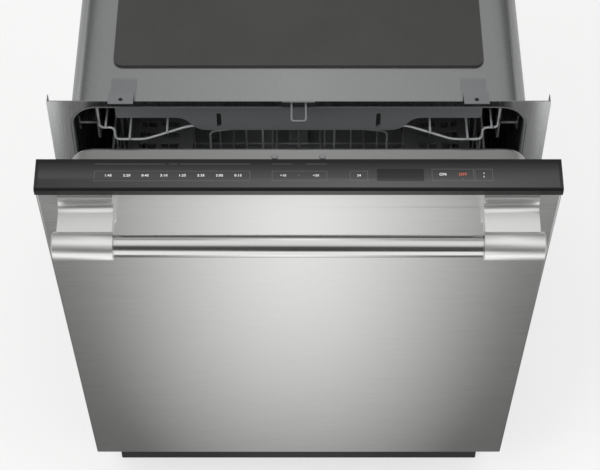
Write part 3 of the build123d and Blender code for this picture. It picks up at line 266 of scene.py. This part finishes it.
def knots_of(points, corner, closed):
    """Knots of a line with rounded corners: (place, handle before, handle after)."""
    largest_share = 0.48  # of a side, for the corner at one end of it
    straight_lead = 0.1  # of a side, for the handles along it
    round_lead = 0.55  # of the way to the corner, for the handles that round it
    knots = []
    last = len(points) - 1
    for i, point in enumerate(points):
        point = Vector(point)
        if not closed and i in (0, last):
            other = Vector(points[1 if i == 0 else last - 1])
            handle = point.lerp(other, straight_lead)
            knots.append((point, handle, handle))
            continue
        before = Vector(points[i - 1])
        after = Vector(points[(i + 1) % len(points)])
        reach = min(corner, (before - point).length * largest_share,
                    (after - point).length * largest_share)
        first = point + (before - point).normalized() * reach
        second = point + (after - point).normalized() * reach
        knots.append((first, first.lerp(before, straight_lead), first.lerp(point, round_lead)))
        knots.append((second, second.lerp(point, round_lead), second.lerp(after, straight_lead)))
    return knots


def wires(runs, diameter, corner=8 * mm, narrow_tips=False):
    """A mesh of round wires along lines given by their points; a run is (points, closed)."""
    tip_share = 0.55
    curve = wire_curve(diameter, bevel_resolution=2)
    curve.resolution_u = 5
    for points, closed in runs:
        knots = knots_of(points, corner, closed)
        spline = curve.splines.new("BEZIER")
        spline.bezier_points.add(len(knots) - 1)
        spline.use_cyclic_u = closed
        for knot, (place, before, after) in zip(spline.bezier_points, knots):
            knot.co, knot.handle_left, knot.handle_right = place, before, after
        if narrow_tips:
            spline.bezier_points[-1].radius = tip_share
    return mesh_of(curve)


def tube(points, diameter):
    """A mesh of one round wire straight from each of many points to the next."""
    curve = wire_curve(diameter, bevel_resolution=1)
    spline = curve.splines.new("POLY")
    spline.points.add(len(points) - 1)
    for knot, point in zip(spline.points, points):
        knot.co = (*point, 1)
    return mesh_of(curve)


def slab(one, other, bevel=0.6 * mm):
    """A mesh of a box with rounded edges, between two opposite corners."""
    one, other = Vector(one), Vector(other)
    box = bmesh.new()
    bmesh.ops.create_cube(box, size=1.0)
    for vertex in box.verts:
        vertex.co = Vector(((one[i] + other[i]) / 2 + vertex.co[i] * abs(other[i] - one[i])
                            for i in range(3)))
    bmesh.ops.bevel(box, geom=box.edges[:], offset=bevel, segments=2, affect="EDGES",
                    profile=0.7)
    mesh = bpy.data.meshes.new("slab")
    box.to_mesh(mesh)
    box.free()
    return mesh


def evenly(first, last, count):
    return [first + (last - first) * i / (count - 1) for i in range(count)]


# Racks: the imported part's square wires become round ones in the same places

wire = 3 * mm
half_wire = wire / 2
next_wire = wire + half_wire  # from the outside of a wire to the middle of the one laid on it
rim_corner = 14 * mm

# Places along y that aren't taken from a box are those of the shut door, where every rack's front
# is at shut_front; the shifts lead from there to where the racks are packed
shut_front = 74 * mm
rack_low, rack_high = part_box("third_rack")
rack_front, rack_back = rack_low.y, rack_high.y
hung_shift = shut_front - rack_front
lower_shift = shut_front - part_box("lower_rack")[0].y


def rim_loop(half, z, y_front, y_back):
    """A closed wire loop at height z."""
    inner = half - half_wire
    return [(-inner, y_front + half_wire, z), (inner, y_front + half_wire, z),
            (inner, y_back - half_wire, z), (-inner, y_back - half_wire, z)]


hanger_ys = (84 * mm - hung_shift, 440 * mm - hung_shift)
hanger_length = 18 * mm
hanger_outside = 2 * mm
runner_length = 434 * mm
runner_inner, runner_outer = 266.2 * mm, 268.2 * mm
runner_half_height = 11.8 * mm
web_overlap = 1 * mm
web_outer = 267.2 * mm
web_half_height = 2 * mm


def hangers(half, rail_z, low, high):
    """Plates that carry a rack's sides, the runners inside its slides and the webs between."""
    meshes = []
    for side in (-1, 1):
        for y in hanger_ys:
            meshes.append(slab((side * (half - half_wire), y, low),
                               (side * (half + hanger_outside), y + hanger_length, high)))
        for inner, outer, half_height in ((runner_inner, runner_outer, runner_half_height),
                                          (half - web_overlap, web_outer, web_half_height)):
            meshes.append(slab((side * inner, rack_front, rail_z - half_height),
                               (side * outer, rack_front + runner_length, rail_z + half_height)))
    return meshes


third_half = 246 * mm
third_rim = 820 * mm
third_rail_z = 788 * mm
third_hanger_low = 748 * mm
third_step_x, third_step_z = 228 * mm, 772 * mm
third_basin_x, third_basin_z = 190 * mm, 750 * mm
third_hump_x, third_hump_z = 134 * mm, 775 * mm
hump_margin = 20 * mm
next_wire_on_slope = 1.4 * wire


def build_third_rack():
    """Crosswise wires bent to steps, basins and a hump, lengthwise ones on them, and the rim."""
    rim_x = third_half - half_wire
    riser_x = third_step_x - half_wire
    half_profile = [(rim_x, third_rim - half_wire), (rim_x, third_step_z + half_wire),
                    (riser_x, third_step_z + half_wire), (riser_x, third_basin_z + half_wire),
                    (third_basin_x, third_basin_z + half_wire),
                    (third_hump_x, third_hump_z + half_wire)]
    runs = []
    for y in evenly(rack_front + next_wire, rack_back - next_wire, count=9):
        left = [(-x, y, z) for x, z in half_profile]
        right = [(x, y, z) for x, z in reversed(half_profile)]
        runs.append((left + right, False))
    hump_half = third_hump_x - hump_margin
    lengthwise = [(x, third_hump_z + next_wire) for x in evenly(-hump_half, hump_half, count=6)]
    for side in (-1, 1):
        lengthwise += [(side * (third_basin_x + third_hump_x) / 2,
                        (third_basin_z + third_hump_z) / 2 + next_wire_on_slope),
                       (side * (third_basin_x + third_step_x) / 2, third_basin_z + next_wire),
                       (side * (third_step_x + third_half) / 2, third_step_z + next_wire)]
    for x, z in lengthwise:
        runs.append(([(x, rack_front + half_wire, z), (x, rack_back - half_wire, z)], False))
    rim = [(rim_loop(third_half, third_rim - half_wire, rack_front, rack_back), True)]
    return merged("third_rack_wires", [wires(runs, wire, corner=6 * mm),
                                       wires(rim, wire, corner=rim_corner)])


cross_margin = 24 * mm
length_margin = 26 * mm


def basket_runs(half, bottom, top, low_rim, y_front, y_back, crosswise, lengthwise):
    """A rack's basket: so many crosswise U wires under lengthwise ones, inside two rims."""
    runs = []
    high = top - half_wire
    side = half - next_wire
    low = bottom + half_wire
    for y in evenly(y_front + cross_margin + half_wire, y_back - cross_margin + half_wire,
                    crosswise):
        runs.append(([(-side, y, high), (-side, y, low), (side, y, low), (side, y, high)], False))
    front, back = y_front + next_wire, y_back - next_wire
    low = bottom + next_wire
    for x in evenly(-half + length_margin + half_wire, half - length_margin - half_wire,
                    lengthwise):
        runs.append(([(x, front, high), (x, front, low), (x, back, low), (x, back, high)], False))
    rims = [(rim_loop(half, z + half_wire, y_front, y_back), True)
            for z in (low_rim, top - wire)]
    return [wires(runs, wire, corner=5 * mm), wires(rims, wire, corner=rim_corner)]


tine_pitch = 36 * mm
rod_overhang = 18 * mm


def tines(y, base_z, xs, height, rod=wire):
    """A row of tines with narrow tips on one rod."""
    rod_z = base_z + rod / 2
    ends = [(xs[0] - rod_overhang, y, rod_z), (xs[-1] + rod_overhang, y, rod_z)]
    uprights = [([(x, y, rod_z), (x, y, base_z + height)], False) for x in xs]
    return [wires([(ends, False)], rod), wires(uprights, wire, narrow_tips=True)]


upper_half = 242 * mm
upper_bottom = 512 * mm
upper_floor = upper_bottom + 2 * wire
upper_low_rim = 596 * mm
upper_rim = 668 * mm
upper_rail_z = 640 * mm
upper_hanger_low = 632 * mm
upper_tine_xs = [i * tine_pitch for i in range(-5, 6)]
upper_tine_height = 65 * mm
upper_tines_middle_y = 302 * mm - hung_shift + half_wire
upper_tines_off_middle = 60 * mm
stem_y = 187 * mm - hung_shift + half_wire
stem_inner_x, stem_inner_top = 47.5 * mm, 650.5 * mm
stem_outer_x, stem_outer_top = 117.5 * mm, 638.5 * mm
clip_ys = (146 * mm - hung_shift, 458 * mm - hung_shift)
clip_length = 6 * mm
clip_inner = 224 * mm
clip_top = 611 * mm


def build_upper_rack():
    """The basket, two rows of tines, the bent wires that stems lean on and the shelves' clips."""
    meshes = basket_runs(upper_half, upper_bottom, upper_rim, upper_low_rim, rack_front,
                         rack_back, crosswise=8, lengthwise=8)
    for y in (upper_tines_middle_y - upper_tines_off_middle,
              upper_tines_middle_y + upper_tines_off_middle):
        meshes += tines(y, upper_floor, upper_tine_xs, upper_tine_height)
    foot = upper_floor + half_wire
    stems = [([(-stem_outer_x, stem_y, foot), (stem_outer_x, stem_y, foot)], False)]
    for side in (-1, 1):
        stems.append(([(side * stem_inner_x, stem_y, foot),
                       (side * stem_inner_x, stem_y, stem_inner_top),
                       (side * stem_outer_x, stem_y, stem_outer_top),
                       (side * stem_outer_x, stem_y, foot)], False))
    meshes.append(wires(stems, wire, corner=7 * mm))
    for side in (-1, 1):
        for y in clip_ys:
            meshes.append(slab((side * clip_inner, y, upper_low_rim),
                               (side * (upper_half - wire), y + clip_length, clip_top)))
    return merged("upper_rack_wires", meshes)


lower_half = 256 * mm
lower_bottom = 200 * mm
lower_floor = lower_bottom + 2 * wire
lower_low_rim = 262 * mm
lower_rim = 330 * mm
lower_front = shut_front - lower_shift
lower_back = rack_back + hung_shift - lower_shift
lower_tine_xs = [i * tine_pitch for i in range(-6, 7)]
lower_tine_height = 87 * mm
lower_tines_y = 250 * mm - lower_shift + half_wire
wheel_low, wheel_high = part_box("lower_front_wheels")
wheel_z = (wheel_low.z + wheel_high.z) / 2
plate_half_length = 12 * mm
plate_below_axle = 5 * mm
plate_above_bottom = 75 * mm
axle_diameter = 6 * mm
axle_past_wheel = 1 * mm


def build_lower_rack():
    """The basket, the fixed row of tines, and the wheels' plates and axles."""
    meshes = basket_runs(lower_half, lower_bottom, lower_rim, lower_low_rim, lower_front,
                         lower_back, crosswise=8, lengthwise=9)
    meshes += tines(lower_tines_y, lower_floor, lower_tine_xs, lower_tine_height)
    for side in (-1, 1):
        for wheels in ("lower_front_wheels", "lower_rear_wheels"):
            low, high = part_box(wheels)
            y = (low.y + high.y) / 2
            meshes.append(slab((side * (lower_half - wire), y - plate_half_length,
                                wheel_z - plate_below_axle),
                               (side * lower_half, y + plate_half_length,
                                lower_bottom + plate_above_bottom)))
            axle = [(side * lower_half, y, wheel_z),
                    (side * (wheel_high.x + axle_past_wheel), y, wheel_z)]
            meshes.append(wires([(axle, False)], axle_diameter))
    return merged("lower_rack_wires", meshes)


finish_piece(build_third_rack(), "third_rack_wires", "third_rack", "wire_grey", ["third_rack"])
finish_piece(build_upper_rack(), "upper_rack_wires", "upper_rack", "wire_grey", ["upper_rack"])
finish_piece(build_lower_rack(), "lower_rack_wires", "lower_rack", "wire_grey", ["lower_rack"])
for rack, plates in (
        ("third_rack", hangers(third_half, third_rail_z, third_hanger_low, third_rim)),
        ("upper_rack", hangers(upper_half, upper_rail_z, upper_hanger_low, upper_rim))):
    finish_piece(merged(rack + "_hangers", plates), rack + "_hangers", rack, "rail_steel", [rack],
                 smooth=False)

folding_rod = 4 * mm
for row in ("tine_row_front", "tine_row_rear"):
    row_low, row_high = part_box(row)
    row_wires = merged(row + "_wires", tines((row_low.y + row_high.y) / 2, row_low.z,
                                             lower_tine_xs, row_high.z - row_low.z, folding_rod))
    finish_piece(row_wires, row + "_wires", row, "wire_grey", [row])


# Door springs: close-wound coils with a hook at each end, in place of the plain outline

spring_wire = 2.4 * mm
spring_turns = 44
points_a_turn = 12


def coil(center, radius, y_first, y_last):
    """Points of a helix along y."""
    steps = spring_turns * points_a_turn
    return [(center.x + radius * cos(2 * pi * i / points_a_turn),
             y_first + (y_last - y_first) * i / steps,
             center.z + radius * sin(2 * pi * i / points_a_turn)) for i in range(steps + 1)]


def build_springs():
    """Both springs, each with its hooks along its middle line."""
    low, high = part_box("door_springs")
    radius = (high.z - low.z) / 2 - spring_wire / 2
    middle_z = (low.z + high.z) / 2
    front_hook = (low.y + 1 * mm, low.y + 8 * mm)
    coil_ends = (low.y + 12 * mm, high.y - 14 * mm)
    back_hook = (high.y - 10 * mm, high.y - 0.5 * mm)
    meshes = []
    for side in (-1, 1):
        center = Vector((side * (high.x - radius - spring_wire / 2), 0, middle_z))
        front = [(center.x, y, middle_z) for y in front_hook]
        back = [(center.x, y, middle_z) for y in back_hook]
        meshes.append(tube(front + coil(center, radius, *coil_ends) + back, spring_wire))
    return merged("door_spring_coils", meshes)


finish_piece(build_springs(), "door_spring_coils", "root", "zinc_steel", ["door_springs"])


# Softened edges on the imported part's own pieces

def soften(node, width):
    """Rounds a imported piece's sharp edges where it is shown, without touching its vertices."""
    packed = nodes[node]
    weld = packed.modifiers.new("weld", "WELD")
    weld.merge_threshold = 0.01 * mm
    bevel = packed.modifiers.new("bevel", "BEVEL")
    bevel.width = width
    bevel.segments = 2
    bevel.limit_method = "ANGLE"
    bevel.angle_limit = radians(35)
    bevel.harden_normals = True


edge_widths_mm = {
    "outer_panel": 0.5, "console_housing": 0.7, "console_glass": 0.25, "handle_posts": 0.8,
    "handle_bar": 0.5, "third_rack_front": 0.5, "tub": 0.3, "tub_gasket": 0.4, "toe_kick": 0.4,
    "access_panel": 0.4, "top_brackets": 0.25, "dispenser_housing": 0.6, "detergent_lid": 0.5,
    "cutlery_basket": 0.4, "cup_shelf_left": 0.4, "cup_shelf_right": 0.4, "upper_feed_tube": 0.6,
    "middle_spray_arm": 0.8, "lower_spray_arm": 0.8, "top_spray_arm": 0.6, "water_manifold": 0.6,
    "base_pan": 0.5, "hinge_arms": 0.25, "hinge_brackets": 0.25, "levelling_feet": 0.4,
    "junction_box": 0.4, "inlet_valve": 0.4, "drain_pump": 0.6, "circulation_pump": 0.8,
    "damping_mats": 0.5, "latch_housing": 0.4, "lower_front_wheels": 0.5,
    "lower_rear_wheels": 0.5, "spring_pulleys": 0.3, "filter_cup": 0.4, "rinse_cap": 0.4,
    "float_switch": 0.6, "upper_rack_rails": 0.2, "third_rack_rails": 0.2, "upper_slides": 0.2,
    "third_slides": 0.2,
}
for node, width in edge_widths_mm.items():
    soften(node, width * mm)


# Print on the console glass: numbers for the programmes, ON and OFF, and thin frames round them.
# Places are those of the shut door; the door's pose takes them to where it stands.

glass_top = 858.4 * mm
print_height = 0.05 * mm
print_top = glass_top + print_height
strip_bevel = 0.005 * mm
frame_line = 0.35 * mm


def glyphs(text, x, y, height):
    """A thin mesh of a short text, centred on x and y, all in millimetres."""
    capital_share = 0.72  # of the font's size
    boldness = 0.012  # of the capitals' height
    spacing = 1.12
    curve = bpy.data.curves.new("text", "FONT")
    curve.body = text
    curve.size = height * mm / capital_share
    curve.align_x = "CENTER"
    curve.align_y = "CENTER"
    curve.extrude = print_height / 2
    curve.offset = height * mm * boldness
    curve.resolution_u = 3
    curve.space_character = spacing
    mesh = mesh_of(curve)
    mesh.transform(Matrix.Translation((x * mm, y * mm, glass_top + print_height / 2)))
    return mesh


def strip(x, y, bevel=strip_bevel):
    """A thin slab on the glass, given by its spans in metres."""
    return slab((x[0], y[0], glass_top), (x[1], y[1], print_top), bevel)


def thin_frame(x, y):
    """Four strips round a rectangle given by its spans in metres."""
    return [strip(x, (y[0], y[0] + frame_line)), strip(x, (y[1] - frame_line, y[1])),
            strip((x[0], x[0] + frame_line), y), strip((x[1] - frame_line, x[1]), y)]


def in_mm(span):
    return [value * mm for value in span]


# Millimetres: labels are (text, x, y, height), frames and lines are spans
programmes = ("1:45", "2:20", "0:45", "3:10", "1:25", "2:35", "2:05", "0:15")
programme_x = -218.6
programme_pitch = 21.3
label_y = -7.9
white_labels = [(text, programme_x + i * programme_pitch, label_y, 3.2)
                for i, text in enumerate(programmes)]
white_labels += [("+10", -17.9, label_y, 3.0), ("+20", 19.9, label_y, 3.0),
                 ("24", 69.2, label_y, 3.0), ("ON", 165.5, -6.4, 3.6), ("3", 212.6, -5.0, 2.2),
                 ("5", 212.6, -9.6, 2.2)]
red_labels = [("OFF", 188.5, -6.4, 3.6)]
grey_labels = [("1 2 3 4", -144.9, 7.7, 2.0), ("0", 0.6, label_y, 2.4), ("1", 165.5, -12.6, 2.0),
               ("0", 188.5, -12.6, 2.0)]
box_y = (-15.3, -1.8)
tall_box_y = (-15.3, 0.9)
boxes = (((-234.7, -55.8), box_y), ((-30.6, 32.5), box_y), ((58.9, 79.5), box_y),
         ((153.0, 201.0), tall_box_y), ((202.3, 222.9), tall_box_y))
line_y = (7.5, 7.9)
line_xs = ((-234.7, -154.0), (-136.0, -55.8), (-30.6, -8.0), (8.0, 32.5))
display_x = (89.9, 143.8)

white_marks = [glyphs(*label) for label in white_labels]
red_marks = [glyphs(*label) for label in red_labels]
grey_marks = [glyphs(*label) for label in grey_labels]
for x, y in boxes:
    grey_marks += thin_frame(in_mm(x), in_mm(y))
grey_marks += [strip(in_mm(x), in_mm(line_y)) for x in line_xs]
display = [strip(in_mm(display_x), in_mm(tall_box_y), bevel=0.01 * mm)]
for name, meshes, material in (
        ("print_white", white_marks, print_white), ("print_grey", grey_marks, print_grey),
        ("print_red", red_marks, print_red), ("display_window", display, display_black)):
    finish_piece(merged(name, meshes), name, "door", "glass_black", smooth=False, pose=door_pose,
                 material=material)


# Floor, cards, lamps, world and camera

def make_floor():
    """A pale floor that glows a little, more to the camera than in what metal and glass mirror."""
    pale, paler = (0.78, 0.78, 0.77), (0.80, 0.80, 0.79)
    half_length = 12.0
    cloud = 3
    share_seen = 0.62
    strength_mirrored = 0.55
    mesh = bpy.data.meshes.new("floor")
    plane = bmesh.new()
    bmesh.ops.create_grid(plane, x_segments=1, y_segments=1, size=half_length)
    plane.to_mesh(mesh)
    plane.free()
    floor = bpy.data.objects.new("floor", mesh)
    bpy.context.scene.collection.objects.link(floor)
    material, shader = new_material("floor_pale", paler, 0.0, 1.0)
    shader.inputs["Specular IOR Level"].default_value = 0.0
    tint(material, shader, noise(material, (cloud, cloud, cloud)), pale, paler)
    tree = material.node_tree

    # What the camera sees: the lit floor mixed with a plain glow
    ray = tree.nodes.new("ShaderNodeLightPath")
    share = tree.nodes.new("ShaderNodeMath")
    share.operation = "MULTIPLY"
    share.inputs[1].default_value = share_seen
    seen_glow = tree.nodes.new("ShaderNodeEmission")
    seen_glow.inputs["Strength"].default_value = 1.0
    seen = tree.nodes.new("ShaderNodeMixShader")
    tree.links.new(ray.outputs["Is Camera Ray"], share.inputs[0])
    tree.links.new(share.outputs["Value"], seen.inputs["Fac"])
    tree.links.new(shader.outputs["BSDF"], seen.inputs[1])
    tree.links.new(seen_glow.outputs["Emission"], seen.inputs[2])

    # What metal and glass mirror: a dimmer glow alone
    mirrored_glow = tree.nodes.new("ShaderNodeEmission")
    mirrored_glow.inputs["Strength"].default_value = strength_mirrored
    either = tree.nodes.new("ShaderNodeMixShader")
    tree.links.new(ray.outputs["Is Glossy Ray"], either.inputs["Fac"])
    tree.links.new(seen.outputs["Shader"], either.inputs[1])
    tree.links.new(mirrored_glow.outputs["Emission"], either.inputs[2])
    tree.links.new(either.outputs["Shader"], tree.nodes["Material Output"].inputs["Surface"])
    mesh.materials.append(material)


def glow_card(name, low, high, center, reach, bright, dull):
    """A card that only metal and glass show: bright at its centre, dull at its reach from it.

    It is given by two opposite corners. It lies flat, or stands upright along x.
    """
    mesh = bpy.data.meshes.new(name)
    mesh.from_pydata([(low[0], low[1], low[2]), (high[0], low[1], low[2]),
                      (high[0], high[1], high[2]), (low[0], high[1], high[2])],
                     [], [(0, 1, 2, 3)])
    card = bpy.data.objects.new(name, mesh)
    bpy.context.scene.collection.objects.link(card)
    material = bpy.data.materials.new(name)
    material.use_nodes = True
    tree = material.node_tree
    tree.nodes.clear()
    output = tree.nodes.new("ShaderNodeOutputMaterial")
    glow = tree.nodes.new("ShaderNodeEmission")
    tree.links.new(glow.outputs["Emission"], output.inputs["Surface"])
    place = tree.nodes.new("ShaderNodeTexCoord")
    mapping = tree.nodes.new("ShaderNodeMapping")
    mapping.vector_type = "TEXTURE"
    mapping.inputs["Location"].default_value = center
    mapping.inputs["Scale"].default_value = reach
    distance = tree.nodes.new("ShaderNodeVectorMath")
    distance.operation = "LENGTH"
    tree.links.new(place.outputs["Object"], mapping.inputs["Vector"])
    tree.links.new(mapping.outputs["Vector"], distance.inputs[0])
    spread_to(material, distance.outputs["Value"], bright, dull, glow.inputs["Strength"], 0.0, 1.0)
    mesh.materials.append(material)
    card.visible_camera = False
    card.visible_diffuse = False
    card.visible_shadow = False


make_floor()

endless = 1000.0  # a reach so long that a card doesn't fade along that axis
ceiling = 3.0
ground = 0.002
counter = 0.893  # where a worktop's underside would be
for card in (
        # name, two corners, centre, reach, strength at the centre and at the reach
        ("sky_card", (-2.2, -1.7, ceiling), (2.2, 0.45, ceiling),
         (0, -0.3, ceiling), (endless, 2.0, endless), 1.15, 0.85),
        ("window_card", (-2.2, 0.45, ceiling), (2.2, 1.6, ceiling),
         (0.15, 1.0, ceiling), (0.8, endless, endless), 1.50, 0.45),
        ("front_card", (-2.6, -2.3, 0.9), (2.6, -2.3, 2.9),
         (0, -2.3, 0.9), (endless, endless, 2.0), 0.06, 0.14),
        ("back_card", (-2.6, 2.2, 0.2), (2.6, 2.2, 2.9),
         (0, 2.2, 0.2), (endless, endless, 2.7), 0.14, 0.26),
        ("door_card", (-1.4, -0.70, ground), (1.4, 0.06, ground),
         (0, -0.50, ground), (0.38, 0.56, endless), 1.80, 0.20),
        ("far_floor_card", (-3.0, -6.0, ground), (3.0, -0.70, ground),
         (0, 0, 0), (endless, endless, endless), 1.30, 1.30),
        ("worktop_card", (-0.6, -0.055, counter), (0.6, 0.62, counter),
         (0, 0.3, counter), (0.45, endless, endless), 0.45, 0.25),
        ("worktop_edge_card", (-0.6, -0.082, counter), (0.6, -0.055, counter),
         (0, -0.058, counter), (endless, 0.020, endless), 0.12, 0.85)):
    glow_card(*card)


def area_light(name, place, target, size, watts):
    """A soft lamp that metal doesn't mirror: the cards are there for that."""
    lamp = bpy.data.lights.new(name, "AREA")
    lamp.shape = "RECTANGLE"
    lamp.size, lamp.size_y = size
    lamp.energy = watts
    holder = bpy.data.objects.new(name, lamp)
    holder.location = place
    holder.rotation_euler = (Vector(target) - Vector(place)).to_track_quat("-Z", "Y").to_euler()
    holder.visible_glossy = False
    bpy.context.scene.collection.objects.link(holder)


area_light("key", (-1.8, -1.6, 3.0), (0, 0.1, 0.5), (2.2, 2.2), 60)
area_light("fill", (2.4, -1.2, 2.2), (0, 0.1, 0.5), (2.0, 2.0), 30)
area_light("top", (0, 0.6, 3.4), (0, 0.2, 0.5), (2.6, 2.6), 40)

world_lighting = 0.6
world_seen = 1.05
world = bpy.data.worlds.new("studio")
bpy.context.scene.world = world
world.use_nodes = True
backdrop = world.node_tree.nodes["Background"]
backdrop.inputs["Color"].default_value = (0.9, 0.9, 0.9, 1)
seen_directly = world.node_tree.nodes.new("ShaderNodeLightPath").outputs["Is Camera Ray"]
spread_to(world, seen_directly, world_lighting, world_seen, backdrop.inputs["Strength"], 0.0, 1.0)

# The photo's camera, fitted to the niche, the tub's flange and the door
photo_width = 600
camera_place = Vector((0.0, -1.3969, 2.4304))
camera_down = radians(52.49)
camera = bpy.data.objects.new("camera", bpy.data.cameras.new("camera"))
camera.data.lens = 106.93
camera.data.sensor_width = 36.0
camera.data.shift_x = 1.36 / photo_width
camera.location = camera_place
camera.rotation_euler = (pi / 2 - camera_down, 0, 0)
bpy.context.scene.collection.objects.link(camera)
bpy.context.scene.camera = camera
bpy.context.scene.view_settings.view_transform = "Standard"
